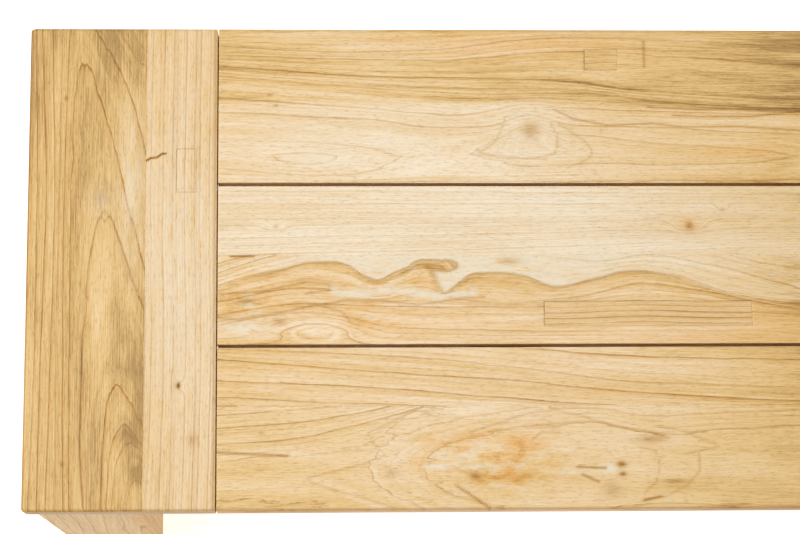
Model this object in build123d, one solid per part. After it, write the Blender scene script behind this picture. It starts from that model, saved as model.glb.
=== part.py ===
from build123d import *
import os

# Backless garden bench in solid teak: three planks between two glued-up end boards, on four square
# legs with mortised aprons. X runs along the bench, the front is -Y, Z is up, and the origin is on
# the ground under the middle of the seat. All sizes are in millimetres.

# Overall sizes
BENCH_LENGTH = 1500.0
BENCH_DEPTH = 400.0
BENCH_HEIGHT = 450.0

# Seat boards
TOP_THICKNESS = 24.0
END_OUTER_WIDTH = 96.0      # outer strip of an end board
END_INNER_WIDTH = 58.0      # inner strip of an end board
PLANK_COUNT = 3
PLANK_GAP = 2.4             # open drainage joint between planks
END_JOINT_GAP = 0.8         # hairline between the plank ends and the end board
MIDDLE_REAR_STRIP = 58.0    # the middle and front planks are each glued up from two strips
FRONT_REAR_STRIP = 48.0
EDGE_ROUND = 3.0            # outer edges of the seat
ARRIS = 0.8                 # small chamfer on every other open edge of the seat

# Loose tenons that join the planks to the end boards
PLANK_TENON_WIDTH = 60.0
PLANK_TENON_THICKNESS = 8.0
PLANK_TENON_REACH = 28.0    # into each board

# Repair patches let into the seat: length, width and place of the centre
INLAY_DEPTH = 6.0
LONG_INLAY = (169.5, 20.4)          # middle plank, along the grain
LONG_INLAY_FROM_END = 350.5         # from the plank's left end to the patch's centre
LONG_INLAY_FROM_FRONT = 25.0        # from the plank's front edge
SMALL_INLAY = (27.0, 18.0)          # rear plank
SMALL_INLAY_FROM_END = 317.0
SMALL_INLAY_FROM_REAR = 26.5
END_INLAY = (16.0, 36.0)            # inner strip of the left end board
END_INLAY_FROM_JOINT = 25.0         # from the strip's plank side
END_INLAY_FROM_REAR = 121.0

# Legs and glides
LEG_SIZE = 78.0
LEG_INSET = 3.5             # from the edge of the seat to the leg
LEG_EDGE_ROUND = 5.0
LEG_FOOT_CHAMFER = 2.0
GLIDE_DIAMETER = 26.0
GLIDE_HEIGHT = 4.0
GLIDE_NAIL_DIAMETER = 3.0
GLIDE_NAIL_LENGTH = 15.0
LEG_DOWEL_DIAMETER = 10.0
LEG_DOWEL_IN_LEG = 24.0
LEG_DOWEL_IN_TOP = 14.0
LEG_DOWEL_OFFSET = 20.0     # from the leg's centre, along and across the bench

# Aprons
APRON_THICKNESS = 24.0
APRON_HEIGHT = 80.0
APRON_EDGE_ROUND = 2.0
TENON_THICKNESS = 10.0
TENON_SHOULDER = 10.0       # above and below the tenon
TENON_WEB = 4.0             # wood left between the two tenons that meet in a leg
GLUE_SPACE = 1.0            # at the bottom of every mortise and dowel hole

# Turn buttons that hold the seat down, in a groove along each apron
GROOVE_DROP = 10.0          # from the apron's top edge to the groove
GROOVE_HEIGHT = 8.0
GROOVE_DEPTH = 8.0
GROOVE_STOP = 12.0          # left solid at each end of the apron
BUTTON_LENGTH = 32.0
BUTTON_REACH = 34.0
BUTTON_HEIGHT = 18.0
BUTTON_FROM_MIDDLE = 180.0      # inner ones, each side of the middle
BUTTON_FROM_PLANK_END = 75.0    # outer ones

# Cross battens under the planks
BATTEN_WIDTH = 60.0
BATTEN_THICKNESS = 22.0
BATTEN_FROM_PLANK_END = 235.0   # the outer two; the third is in the middle
HOUSING_DEPTH = 8.0
BATTEN_SCREW_STAGGER = 12.0

# Diagonal corner braces
BRACE_WIDTH = 22.0
BRACE_HEIGHT = 50.0
BRACE_LIFT = 4.0            # above the apron's bottom edge
BRACE_LEG_CLEARANCE = 1.0
BRACE_SCREW_INSET = 12.0    # from the apron to the screw, on the brace's inner face
BRACE_SCREW_PITCH = 26.0

# Countersunk stainless screws
SCREW_DIAMETER = 4.0
SCREW_HEAD_DIAMETER = 8.0
SCREW_HEAD_HEIGHT = 2.4
SCREW_TIP = 4.0
SCREW_RECESS = (4.4, 1.0, 1.2)      # length, width and depth of the cross in the head
BATTEN_SCREW_LENGTH = 38.0
BUTTON_SCREW_LENGTH = 30.0
BRACE_SCREW_LENGTH = 38.0

# Clearances
FIT = 0.1                   # round a tenon, patch, housing or button
HOLE_FIT = 0.05             # round a screw, dowel or nail, on the radius

# Places that follow from the sizes
half_length = BENCH_LENGTH / 2
half_depth = BENCH_DEPTH / 2
top_z = BENCH_HEIGHT
under_z = BENCH_HEIGHT - TOP_THICKNESS
middle_z = BENCH_HEIGHT - TOP_THICKNESS / 2
glue_line_x = half_length - END_OUTER_WIDTH
end_joint_x = glue_line_x - END_INNER_WIDTH
plank_end_x = end_joint_x - END_JOINT_GAP
plank_depth = (BENCH_DEPTH - (PLANK_COUNT - 1) * PLANK_GAP) / PLANK_COUNT
leg_x = half_length - LEG_INSET - LEG_SIZE / 2
leg_y = half_depth - LEG_INSET - LEG_SIZE / 2
leg_inner_x = leg_x - LEG_SIZE / 2
leg_inner_y = leg_y - LEG_SIZE / 2
apron_low_z = under_z - APRON_HEIGHT
long_apron_inner_y = leg_y - APRON_THICKNESS / 2
end_apron_inner_x = leg_x - APRON_THICKNESS / 2
tenon_length = (LEG_SIZE - TENON_THICKNESS) / 2 - TENON_WEB
batten_x = plank_end_x - BATTEN_FROM_PLANK_END
outer_button_x = plank_end_x - BUTTON_FROM_PLANK_END

SIDES = {"left": -1, "right": 1}
FACES = {"front": -1, "rear": 1}


def block(x0, x1, y0, y1, z0, z1):
    """A box between two corners, given in any order."""
    size = (abs(x1 - x0), abs(y1 - y0), abs(z1 - z0))
    return Pos((x0 + x1) / 2, (y0 + y1) / 2, (z0 + z1) / 2) * Box(*size)


def edges_at(shape, axis, **places):
    """Edges parallel to an axis whose middle is at the given X, Y or Z."""
    found = shape.edges().filter_by(axis)
    for name, value in places.items():
        found = [e for e in found if abs(getattr(e.center(), name) - value) < 0.01]
    return list(found)


def aimed(shape, start, direction):
    """A shape built along +Z, moved to start there and point along a direction."""
    return Plane(origin=start, z_dir=direction) * shape


def save(name, *solids):
    """Writes one node: a single solid, or a group of separate ones."""
    shape = solids[0] if len(solids) == 1 else Compound(children=list(solids))
    export_step(shape, f"parts/{name}.step")


def screw(length):
    """Countersunk wood screw along +Z, with the flat of its head at the start."""
    radius = SCREW_DIAMETER / 2
    head = Pos(0, 0, SCREW_HEAD_HEIGHT / 2) * Cone(SCREW_HEAD_DIAMETER / 2, radius, SCREW_HEAD_HEIGHT)
    shank_length = length - SCREW_HEAD_HEIGHT - SCREW_TIP
    shank = Pos(0, 0, SCREW_HEAD_HEIGHT + shank_length / 2) * Cylinder(radius, shank_length)
    tip = Pos(0, 0, length - SCREW_TIP / 2) * Cone(radius, radius / 8, SCREW_TIP)
    across, width, depth = SCREW_RECESS
    cross = Pos(0, 0, depth / 2) * (Box(across, width, depth) + Box(width, across, depth))
    return head + shank + tip - cross


def screw_hole(length):
    """Countersink and pilot hole for a screw of that length, started outside the wood."""
    radius = SCREW_DIAMETER / 2 + HOLE_FIT
    head_radius = SCREW_HEAD_DIAMETER / 2 + HOLE_FIT
    sink = Pos(0, 0, SCREW_HEAD_HEIGHT / 2) * Cone(head_radius, radius, SCREW_HEAD_HEIGHT)
    run_out = Pos(0, 0, -SCREW_HEAD_DIAMETER / 2) * Cylinder(head_radius, SCREW_HEAD_DIAMETER)
    pilot = Pos(0, 0, (length + GLUE_SPACE) / 2) * Cylinder(radius, length + GLUE_SPACE)
    return sink + run_out + pilot


# Seat boards. Planks are numbered from the front.

def plank_span(number):
    """Front and rear Y of a plank."""
    front = -half_depth + number * (plank_depth + PLANK_GAP)
    return front, front + plank_depth


def plank_tenons():
    """One loose tenon for each end of each plank, by node name."""
    names = ["front_plank", "middle_plank", "rear_plank"]
    tenons = {}
    for number, name in enumerate(names):
        front, rear = plank_span(number)
        for side, sign in SIDES.items():
            shape = Box(
                2 * PLANK_TENON_REACH + END_JOINT_GAP, PLANK_TENON_WIDTH, PLANK_TENON_THICKNESS
            )
            shape = fillet(shape.edges().filter_by(Axis.X), PLANK_TENON_THICKNESS / 4)
            place = Pos(sign * (end_joint_x - END_JOINT_GAP / 2), (front + rear) / 2, middle_z)
            tenons[f"{name}_{side}_tenon"] = place * shape
    return tenons


def plank_mortises():
    """Slots for the loose tenons, cut in the plank ends and in the end boards alike."""
    length = 2 * (PLANK_TENON_REACH + GLUE_SPACE) + END_JOINT_GAP
    width = PLANK_TENON_WIDTH + 2 * FIT
    height = PLANK_TENON_THICKNESS + 2 * FIT
    cuts = []
    for number in range(PLANK_COUNT):
        middle_y = sum(plank_span(number)) / 2
        for sign in SIDES.values():
            place = Pos(sign * (end_joint_x - END_JOINT_GAP / 2), middle_y, middle_z)
            cuts.append(place * Box(length, width, height))
    return cuts


def joint_grooves():
    """V grooves along both end joints, in the top face."""
    half_width = ARRIS + END_JOINT_GAP / 2
    diamond = Rotation(0, 45, 0) * Box(
        half_width * 2**0.5, BENCH_DEPTH + 2 * half_width, half_width * 2**0.5
    )
    middle_x = end_joint_x - END_JOINT_GAP / 2
    return [Pos(sign * middle_x, 0, top_z) * diamond for sign in SIDES.values()]


def plank_strip(front, rear):
    """A board between the two end joints. Open edges are eased, and glued edges stay square."""
    strip = block(-plank_end_x, plank_end_x, front, rear, under_z, top_z)
    glue_lines = (plank_span(0)[0] + plank_depth - FRONT_REAR_STRIP,
                  plank_span(1)[0] + plank_depth - MIDDLE_REAR_STRIP)
    for y in (front, rear):
        edges = edges_at(strip, Axis.X, Y=y)
        if abs(y) > half_depth - 0.01:
            strip = fillet(edges, EDGE_ROUND)
        elif min(abs(y - line) for line in glue_lines) > 0.01:
            strip = chamfer(edges, ARRIS)
    return strip


def end_strip(sign, x_outer, x_inner):
    """A board across one end of the seat, with its grain along Y."""
    strip = block(sign * x_outer, sign * x_inner, -half_depth, half_depth, under_z, top_z)
    edges = edges_at(strip, Axis.X, Y=-half_depth) + edges_at(strip, Axis.X, Y=half_depth)
    if abs(x_outer - half_length) < 0.01:
        edges += edges_at(strip, Axis.Y, X=sign * x_outer)
        edges += edges_at(strip, Axis.Z, X=sign * x_outer)
    return fillet(edges, EDGE_ROUND)


def inlays():
    """Patches flush with the seat, by node name: the solid and the board it is let into."""
    places = {
        "middle_plank_inlay": (
            LONG_INLAY, -plank_end_x + LONG_INLAY_FROM_END,
            plank_span(1)[0] + LONG_INLAY_FROM_FRONT, "middle_plank_front_strip"),
        "rear_plank_inlay": (
            SMALL_INLAY, -plank_end_x + SMALL_INLAY_FROM_END,
            half_depth - SMALL_INLAY_FROM_REAR, "rear_plank"),
        "left_end_inlay": (
            END_INLAY, -end_joint_x - END_INLAY_FROM_JOINT,
            half_depth - END_INLAY_FROM_REAR, "left_end_inner_strip"),
    }
    made = {}
    for name, ((length, width), x, y, board) in places.items():
        place = Pos(x, y, top_z - INLAY_DEPTH / 2)
        patch = place * Box(length, width, INLAY_DEPTH)
        pocket = place * Box(length + 2 * FIT, width + 2 * FIT, INLAY_DEPTH)
        made[name] = (patch, board, pocket)
    return made


def seat_boards():
    """All boards of the seat, by node name, before any screw or dowel hole."""
    front_line = plank_span(0)[1] - FRONT_REAR_STRIP
    middle_line = plank_span(1)[1] - MIDDLE_REAR_STRIP
    boards = {
        "front_plank_front_strip": plank_strip(plank_span(0)[0], front_line),
        "front_plank_rear_strip": plank_strip(front_line, plank_span(0)[1]),
        "middle_plank_front_strip": plank_strip(plank_span(1)[0], middle_line),
        "middle_plank_rear_strip": plank_strip(middle_line, plank_span(1)[1]),
        "rear_plank": plank_strip(*plank_span(2)),
    }
    for side, sign in SIDES.items():
        boards[f"{side}_end_outer_strip"] = end_strip(sign, half_length, glue_line_x)
        boards[f"{side}_end_inner_strip"] = end_strip(sign, glue_line_x, end_joint_x)
    cuts = plank_mortises() + joint_grooves()
    for name in boards:
        if "outer" not in name:
            boards[name] -= cuts
    for patch, board, pocket in inlays().values():
        boards[board] -= pocket
    return boards


# Legs, with what is driven into them

def leg(sign_x, sign_y):
    """A square leg with two blind mortises in its inner faces."""
    length = under_z - GLIDE_HEIGHT
    shape = Box(LEG_SIZE, LEG_SIZE, length)
    shape = fillet(shape.edges().filter_by(Axis.Z), LEG_EDGE_ROUND)
    shape = chamfer(shape.faces().sort_by(Axis.Z)[0].edges(), LEG_FOOT_CHAMFER)
    shape = Pos(sign_x * leg_x, sign_y * leg_y, GLIDE_HEIGHT + length / 2) * shape
    half_slot = TENON_THICKNESS / 2 + FIT
    depth = tenon_length + GLUE_SPACE
    low = apron_low_z + TENON_SHOULDER - FIT
    high = under_z - TENON_SHOULDER + FIT
    shape -= block(
        sign_x * leg_inner_x, sign_x * (leg_inner_x + depth),
        sign_y * leg_y - half_slot, sign_y * leg_y + half_slot, low, high)
    shape -= block(
        sign_x * leg_x - half_slot, sign_x * leg_x + half_slot,
        sign_y * leg_inner_y, sign_y * (leg_inner_y + depth), low, high)
    return shape


def leg_dowels(sign_x, sign_y, radius, extra):
    """Two dowels from a leg's top into the seat, or the holes for them."""
    low = under_z - LEG_DOWEL_IN_LEG - extra
    high = under_z + LEG_DOWEL_IN_TOP + extra
    pair = []
    for turn in (-1, 1):
        x = sign_x * (leg_x - turn * LEG_DOWEL_OFFSET)
        y = sign_y * (leg_y + turn * LEG_DOWEL_OFFSET)
        pair.append(Pos(x, y, (low + high) / 2) * Cylinder(radius, high - low))
    return pair


def glide(sign_x, sign_y):
    """A nylon disc with its nail, under a leg."""
    disc = Pos(0, 0, GLIDE_HEIGHT / 2) * Cylinder(GLIDE_DIAMETER / 2, GLIDE_HEIGHT)
    disc = fillet(disc.edges().group_by(Axis.Z)[0], GLIDE_HEIGHT / 4)
    nail_height = GLIDE_HEIGHT + GLIDE_NAIL_LENGTH / 2
    nail = Pos(0, 0, nail_height) * Cylinder(GLIDE_NAIL_DIAMETER / 2, GLIDE_NAIL_LENGTH)
    return Pos(sign_x * leg_x, sign_y * leg_y, 0) * (disc + nail)


def glide_nail_hole(sign_x, sign_y):
    """The nail's hole in the foot of a leg."""
    length = GLIDE_NAIL_LENGTH + GLUE_SPACE
    hole = Cylinder(GLIDE_NAIL_DIAMETER / 2 + HOLE_FIT, length)
    return Pos(sign_x * leg_x, sign_y * leg_y, GLIDE_HEIGHT + length / 2) * hole


# Aprons, battens and braces

def apron(half_span, sign):
    """An apron along X, centred on Y = 0, whose inner face looks towards -sign Y."""
    half = APRON_THICKNESS / 2
    body = block(-half_span, half_span, -half, half, apron_low_z, under_z)
    body = fillet(edges_at(body, Axis.X, Z=apron_low_z), APRON_EDGE_ROUND)
    reach = half_span + tenon_length
    body += block(
        -reach, reach, -TENON_THICKNESS / 2, TENON_THICKNESS / 2,
        apron_low_z + TENON_SHOULDER, under_z - TENON_SHOULDER)
    groove_top = under_z - GROOVE_DROP
    groove_half = half_span - GROOVE_STOP
    body -= block(
        -groove_half, groove_half, -sign * half, -sign * (half - GROOVE_DEPTH),
        groove_top, groove_top - GROOVE_HEIGHT)
    return body


def battens():
    """Cross battens by node name, let into the front and rear aprons."""
    reach = long_apron_inner_y + HOUSING_DEPTH
    made = {}
    for name, step in (("left_batten", -1), ("centre_batten", 0), ("right_batten", 1)):
        place = Pos(step * batten_x, 0, under_z - BATTEN_THICKNESS / 2)
        made[name] = place * Box(BATTEN_WIDTH, 2 * reach, BATTEN_THICKNESS)
    return made


def housing(step):
    """The slot for one batten, through to both long aprons."""
    reach = long_apron_inner_y + HOUSING_DEPTH + FIT
    low = under_z - BATTEN_THICKNESS - FIT
    half = BATTEN_WIDTH / 2 + FIT
    middle = step * batten_x
    return block(middle - half, middle + half, -reach, reach, low, under_z)


def brace(sign_x, sign_y):
    """A diagonal bar across the corner of the frame, just clear of the leg."""
    leg_corner = (end_apron_inner_x - leg_inner_x) + (long_apron_inner_y - leg_inner_y)
    near = leg_corner + BRACE_LEG_CLEARANCE
    far = near + BRACE_WIDTH * 2**0.5
    corner_x, corner_y = sign_x * end_apron_inner_x, sign_y * long_apron_inner_y
    outline = [(near, 0), (far, 0), (0, far), (0, near)]
    points = [(corner_x - sign_x * p, corner_y - sign_y * q) for p, q in outline]
    face = make_face(Polyline(*points, close=True))
    low = apron_low_z + BRACE_LIFT
    return extrude(Pos(0, 0, low) * face, amount=BRACE_HEIGHT, dir=(0, 0, 1))


def brace_screw_places(sign_x, sign_y):
    """Start and direction of the four screws of one brace, square to its inner face."""
    leg_corner = (end_apron_inner_x - leg_inner_x) + (long_apron_inner_y - leg_inner_y)
    far = leg_corner + BRACE_LEG_CLEARANCE + BRACE_WIDTH * 2**0.5
    middle = apron_low_z + BRACE_LIFT + BRACE_HEIGHT / 2
    places = []
    for p, q in ((far - BRACE_SCREW_INSET, BRACE_SCREW_INSET), (BRACE_SCREW_INSET, far - BRACE_SCREW_INSET)):
        for lift in (-BRACE_SCREW_PITCH / 2, BRACE_SCREW_PITCH / 2):
            start = (sign_x * (end_apron_inner_x - p), sign_y * (long_apron_inner_y - q), middle + lift)
            places.append((start, (sign_x, sign_y, 0)))
    return places


def batten_screw_places():
    """Starts of the screws from the battens into the planks, two in each plank."""
    starts = []
    edge = plank_span(2)[0]
    reach = long_apron_inner_y - edge
    rows = (plank_depth / 4, edge + reach / 4, edge + reach * 3 / 4)
    for step in (-1, 0, 1):
        for row, y in enumerate(rows):
            for sign in (-1, 1):
                x = step * batten_x + sign * (-1) ** row * BATTEN_SCREW_STAGGER
                starts.append((x, sign * y, under_z - BATTEN_THICKNESS))
    return starts


def button():
    """A turn button that points towards +Y, with its tongue at -Y and its top at Z = 0."""
    body = block(-BUTTON_LENGTH / 2, BUTTON_LENGTH / 2, 0, BUTTON_REACH, -BUTTON_HEIGHT, 0)
    body = chamfer(edges_at(body, Axis.X, Y=BUTTON_REACH, Z=-BUTTON_HEIGHT), BUTTON_HEIGHT / 6)
    tongue = block(
        -BUTTON_LENGTH / 2, BUTTON_LENGTH / 2, -(GROOVE_DEPTH - GLUE_SPACE), 0,
        -(GROOVE_DROP + GROOVE_HEIGHT - FIT), -(GROOVE_DROP + FIT))
    return body + tongue


def button_places():
    """Where each turn button stands, by node name: a point on an apron's inner face and a turn."""
    places = {}
    for face, sign in FACES.items():
        turn = 0 if sign < 0 else 180
        for side, way in SIDES.items():
            for order, distance in (("inner", BUTTON_FROM_MIDDLE), ("outer", outer_button_x)):
                at = (way * distance, sign * long_apron_inner_y, under_z)
                places[f"{face}_{side}_{order}_button"] = (at, turn)
    for side, sign in SIDES.items():
        places[f"{side}_end_button"] = ((sign * end_apron_inner_x, 0, under_z), 90 * sign)
    return places


def frame_parts():
    """Aprons, braces and battens by node name, with their screw holes."""
    parts = {}
    for face, sign in FACES.items():
        parts[f"{face}_apron"] = Pos(0, sign * leg_y, 0) * apron(leg_inner_x, sign)
        for step in (-1, 0, 1):
            parts[f"{face}_apron"] -= housing(step)
    for side, sign in SIDES.items():
        across = apron(leg_inner_y, 1)
        parts[f"{side}_end_apron"] = Pos(sign * leg_x, 0, 0) * Rotation(0, 0, -90 * sign) * across
    for face, sign_y in FACES.items():
        for side, sign_x in SIDES.items():
            bar = brace(sign_x, sign_y)
            for start, direction in brace_screw_places(sign_x, sign_y):
                hole = aimed(screw_hole(BRACE_SCREW_LENGTH), start, direction)
                bar -= hole
                parts[f"{face}_apron"] -= hole
                parts[f"{side}_end_apron"] -= hole
            parts[f"{face}_{side}_brace"] = bar
    parts.update(battens())
    return parts


def main():
    os.makedirs("parts", exist_ok=True)
    boards = seat_boards()
    parts = frame_parts()
    parts.update(plank_tenons())
    up = (0, 0, 1)

    # Legs, dowels and glides
    dowels = []
    for face, sign_y in FACES.items():
        for side, sign_x in SIDES.items():
            name = f"{face}_{side}"
            holes = leg_dowels(sign_x, sign_y, LEG_DOWEL_DIAMETER / 2 + HOLE_FIT, GLUE_SPACE)
            parts[f"{name}_leg"] = leg(sign_x, sign_y) - holes - glide_nail_hole(sign_x, sign_y)
            parts[f"{name}_glide"] = glide(sign_x, sign_y)
            dowels += leg_dowels(sign_x, sign_y, LEG_DOWEL_DIAMETER / 2, 0)
            boards[f"{side}_end_outer_strip"] -= holes

    # Screws from the battens up into the planks
    starts = batten_screw_places()
    holes = [aimed(screw_hole(BATTEN_SCREW_LENGTH), start, up) for start in starts]
    for name in boards:
        if "plank" in name:
            boards[name] -= holes
    for name in ("left_batten", "centre_batten", "right_batten"):
        parts[name] -= holes
    batten_screws = [aimed(screw(BATTEN_SCREW_LENGTH), start, up) for start in starts]

    # Turn buttons and their screws
    button_screws = []
    for name, (at, turn) in button_places().items():
        stand = Pos(*at) * Rotation(0, 0, turn)
        head = stand * Pos(0, BUTTON_REACH / 2, -BUTTON_HEIGHT)
        hole = head * screw_hole(BUTTON_SCREW_LENGTH)
        parts[name] = stand * button() - hole
        button_screws.append(head * screw(BUTTON_SCREW_LENGTH))
        for board in boards:
            boards[board] -= hole

    # Screws through the braces into the aprons
    brace_screws = []
    for sign_y in FACES.values():
        for sign_x in SIDES.values():
            for start, direction in brace_screw_places(sign_x, sign_y):
                brace_screws.append(aimed(screw(BRACE_SCREW_LENGTH), start, direction))

    for name, (patch, board, pocket) in inlays().items():
        parts[name] = patch
    for name, shape in {**boards, **parts}.items():
        save(name, shape)
    save("leg_dowels", *dowels)
    save("batten_screws", *batten_screws)
    save("button_screws", *button_screws)
    save("brace_screws", *brace_screws)


main()
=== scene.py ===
import math
import bpy
import bmesh
import numpy as np
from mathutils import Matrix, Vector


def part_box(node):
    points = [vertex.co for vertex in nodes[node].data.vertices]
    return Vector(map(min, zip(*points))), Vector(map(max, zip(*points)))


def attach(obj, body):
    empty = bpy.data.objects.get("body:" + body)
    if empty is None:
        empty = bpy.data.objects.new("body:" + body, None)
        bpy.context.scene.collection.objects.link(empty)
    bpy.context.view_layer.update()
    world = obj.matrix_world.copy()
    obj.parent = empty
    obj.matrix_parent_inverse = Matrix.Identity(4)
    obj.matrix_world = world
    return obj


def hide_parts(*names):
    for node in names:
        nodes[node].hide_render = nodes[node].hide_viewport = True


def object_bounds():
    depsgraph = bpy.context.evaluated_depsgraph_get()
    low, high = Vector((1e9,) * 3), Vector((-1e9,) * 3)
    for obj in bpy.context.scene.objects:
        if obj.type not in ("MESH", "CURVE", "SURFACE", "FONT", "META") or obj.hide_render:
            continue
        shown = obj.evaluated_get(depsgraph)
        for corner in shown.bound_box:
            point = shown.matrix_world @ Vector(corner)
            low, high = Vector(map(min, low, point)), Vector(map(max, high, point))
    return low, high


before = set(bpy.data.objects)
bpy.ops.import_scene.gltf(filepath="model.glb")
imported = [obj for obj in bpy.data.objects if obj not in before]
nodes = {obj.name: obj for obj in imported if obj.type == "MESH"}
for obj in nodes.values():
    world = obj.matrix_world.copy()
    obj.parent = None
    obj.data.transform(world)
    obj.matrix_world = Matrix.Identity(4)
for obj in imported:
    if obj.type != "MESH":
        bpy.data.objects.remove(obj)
cad_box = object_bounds()

# The seat boards are nine planed teak pieces lying flat on the frame: three planks run the length of
# the bench, two of them glued up from a front and a rear strip, and each end is closed by a board
# of two strips that runs across. Their arrises are eased and the faces have weathered a little.
bench_low, bench_high = cad_box
MM = 0.001
LENGTHWISE, CROSSWISE, UPRIGHT = 0, 1, 2
GRID_ALONG = (2.05 * MM, 1.3 * MM)
GRID_ACROSS = 0.95 * MM
OUTER_ROUND = 3.0 * MM
ARRIS = 0.8 * MM
GLUED_ARRIS = 0.12 * MM
ARC_STEPS = 5
END_STEPS = 4
UNDERSIDE_POINTS = 10
WEAR_DEPTH = 0.22 * MM
WEAR_WAVES = 7
POCKET_DEPTH = 6.0 * MM


def pocket_for(node, along):
    """The stretches along and across the grain that a patch takes up in the board it is let into."""
    low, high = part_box(node)
    across = 1 - along
    return (low[along], high[along]), (low[across], high[across])


def spread(low, high, step, breaks=()):
    """Evenly spaced places from low to high, no further apart than step, with one at each break."""
    stops = [low, *sorted(b for b in breaks if low < b < high), high]
    runs = [np.linspace(a, b, max(2, math.ceil((b - a) / step) + 1))[:-1]
            for a, b in zip(stops, stops[1:])]
    return np.concatenate([*runs, [high]])


def corner(centre, radius, first, last):
    """Points of an arc about centre, from the angle first to the angle last in degrees."""
    turn = np.radians(np.linspace(first, last, ARC_STEPS + 1))
    return np.stack([centre[0] + radius * np.cos(turn), centre[1] + radius * np.sin(turn)], 1)


def ripple(along, across, seed):
    """Sum of a few slow sine waves of random heading and phase, squeezed to lie between 0 and 1."""
    rng = np.random.default_rng(seed)
    total = np.zeros_like(along)
    for _ in range(WEAR_WAVES):
        pitch_along = rng.uniform(0.09, 0.6)
        pitch_across = rng.uniform(0.03, 0.2)
        phase = rng.uniform(0, 2 * math.pi)
        total += np.sin(2 * math.pi * (along / pitch_along + across / pitch_across) + phase)
    return 0.5 + 0.5 * np.tanh(total / math.sqrt(WEAR_WAVES))


def sawn_board(name, low, high, along, arrises, ends, seed, pockets=()):
    """A rounded rectangle, its corners arcs of the four arrises, carried from low to high along one
    axis. At each end the section shrinks on a quarter circle to the flat sawn end. Inside a pocket
    the top skin is sunk and joined to the rim by upright walls. Returns the object."""
    across = 1 - along
    near, far = low[across], high[across]
    bottom, top = low[2], high[2]
    r_near_low, r_near_top, r_far_top, r_far_low = arrises
    cross_breaks = [v for p in pockets for v in p[1]]
    upper = spread(near + r_near_top, far - r_far_top, GRID_ACROSS, cross_breaks)[1:-1]
    under = np.linspace(far - r_far_low, near + r_near_low, UNDERSIDE_POINTS)[1:-1]
    profile = np.concatenate([
        corner((near + r_near_low, bottom + r_near_low), r_near_low, 270, 180),
        corner((near + r_near_top, top - r_near_top), r_near_top, 180, 90),
        np.stack([upper, np.full_like(upper, top)], 1),
        corner((far - r_far_top, top - r_far_top), r_far_top, 90, 0),
        corner((far - r_far_low, bottom + r_far_low), r_far_low, 0, -90),
        np.stack([under, np.full_like(under, bottom)], 1),
    ])
    first, last = low[along], high[along]
    quarter = np.radians(np.linspace(0, 90, END_STEPS + 1))
    lead = first + ends[0] * (1 - np.cos(quarter))
    tail = last - ends[1] * (1 - np.cos(quarter[::-1]))
    long_breaks = [v for p in pockets for v in p[0]]
    middle = spread(lead[-1], tail[0], GRID_ALONG[along], long_breaks)[1:-1]
    places = np.concatenate([lead, middle, tail])
    lead_inset = ends[0] * (1 - np.sin(quarter))
    tail_inset = ends[1] * (1 - np.sin(quarter[::-1]))
    inset = np.concatenate([lead_inset, 0 * middle, tail_inset])
    deepest = max(*ends, 1e-9)
    near_part = min(1, r_near_top / deepest)
    far_part = min(1, r_far_top / deepest)
    width, height = far - near, top - bottom
    in_rows = inset[:, None]
    section = np.stack([
        near + in_rows * near_part + (profile[:, 0] - near) * (1 - in_rows * (near_part + far_part) / width),
        bottom + in_rows + (profile[:, 1] - bottom) * (1 - 2 * in_rows / height)], -1)
    rings, sides = section.shape[:2]
    points = np.empty((rings, sides, 3))
    points[..., along] = places[:, None]
    points[..., across] = section[..., 0]
    points[..., 2] = section[..., 1]
    wear = WEAR_DEPTH * ripple(points[..., along], points[..., across], seed)
    points[..., 2] -= wear * (points[..., 2] - bottom) / (top - bottom)
    index = np.arange(rings * sides).reshape(rings, sides)
    quads = np.stack([index[:-1], np.roll(index, -1, 1)[:-1], np.roll(index, -1, 1)[1:], index[1:]], -1)
    kept = np.ones(quads.shape[:2], bool)
    vertices = [points.reshape(-1, 3)]
    extra = []
    start_top = 2 * (ARC_STEPS + 1)
    for (a0, a1), (c0, c1) in pockets:
        i0, i1 = (np.argmin(abs(places - a)) for a in (a0, a1))
        j0, j1 = (start_top + np.argmin(abs(upper - c)) for c in (c0, c1))
        kept[i0:i1, j0:j1] = False
        rim = index[i0:i1 + 1, j0:j1 + 1]
        floor = points[i0:i1 + 1, j0:j1 + 1].copy()
        floor[..., 2] -= POCKET_DEPTH
        base = sum(len(v) for v in vertices)
        deep = base + np.arange(rim.size).reshape(rim.shape)
        vertices.append(floor.reshape(-1, 3))
        sunk = np.stack([deep[:-1, :-1], deep[:-1, 1:], deep[1:, 1:], deep[1:, :-1]], -1)
        extra.append(sunk.reshape(-1, 4))
        for edge in (np.s_[0, :], np.s_[-1, :], np.s_[:, 0], np.s_[:, -1]):
            up, down = rim[edge], deep[edge]
            extra.append(np.stack([up[:-1], up[1:], down[1:], down[:-1]], -1))
    faces = np.concatenate([quads[kept], *extra]).tolist()
    faces += [index[0].tolist(), index[-1][::-1].tolist()]
    mesh = bpy.data.meshes.new(name)
    mesh.from_pydata(np.concatenate(vertices).tolist(), [], faces)
    made = bmesh.new()
    made.from_mesh(mesh)
    bmesh.ops.recalc_face_normals(made, faces=made.faces)
    made.to_mesh(mesh)
    made.free()
    is_end = np.zeros(len(mesh.polygons), np.int32)
    is_end[-2:] = 1
    mesh.polygons.foreach_set("material_index", is_end)
    smooth = np.ones(len(mesh.polygons), bool)
    smooth[-2:] = False
    smooth[kept.sum():-2] = False
    mesh.polygons.foreach_set("use_smooth", smooth)
    board = bpy.data.objects.new(name, mesh)
    bpy.context.scene.collection.objects.link(board)
    return board


RING_SLOPE = 0.5


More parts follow.
